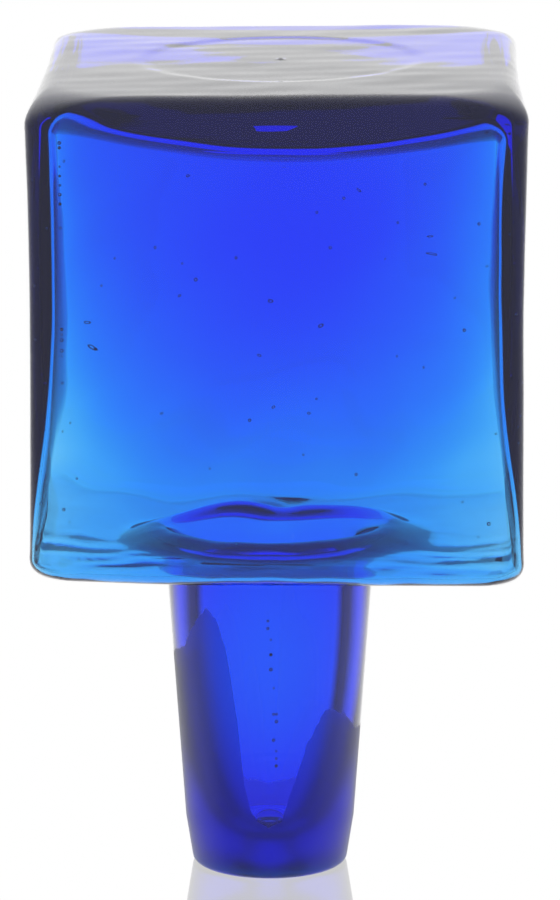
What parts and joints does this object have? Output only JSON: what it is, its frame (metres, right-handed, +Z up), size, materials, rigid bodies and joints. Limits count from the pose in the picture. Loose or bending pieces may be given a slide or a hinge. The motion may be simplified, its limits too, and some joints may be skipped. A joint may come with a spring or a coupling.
{
  "type": "decanter stopper",
  "caption": "Hollow blown-glass stopper with a cube-shaped head of sunken faces on a hollow shank ground to a taper.",
  "frame": {"origin": "centre of the shank's end face, on which the stopper stands", "axes": "+Z up along the shank to the top of the head, +X to the right and +Y to the back of the head as it is usually seen"},
  "size_m": [0.11, 0.11, 0.191],
  "materials": {
    "cobalt_glass": "fire-polished mould-blown cobalt glass",
    "ground_cobalt_glass": "cobalt glass, ground matt on the taper and clear at its root"
  },
  "bodies": {
    "root": {"head": "cobalt_glass", "shank": "ground_cobalt_glass"}
  },
  "joints": []
}
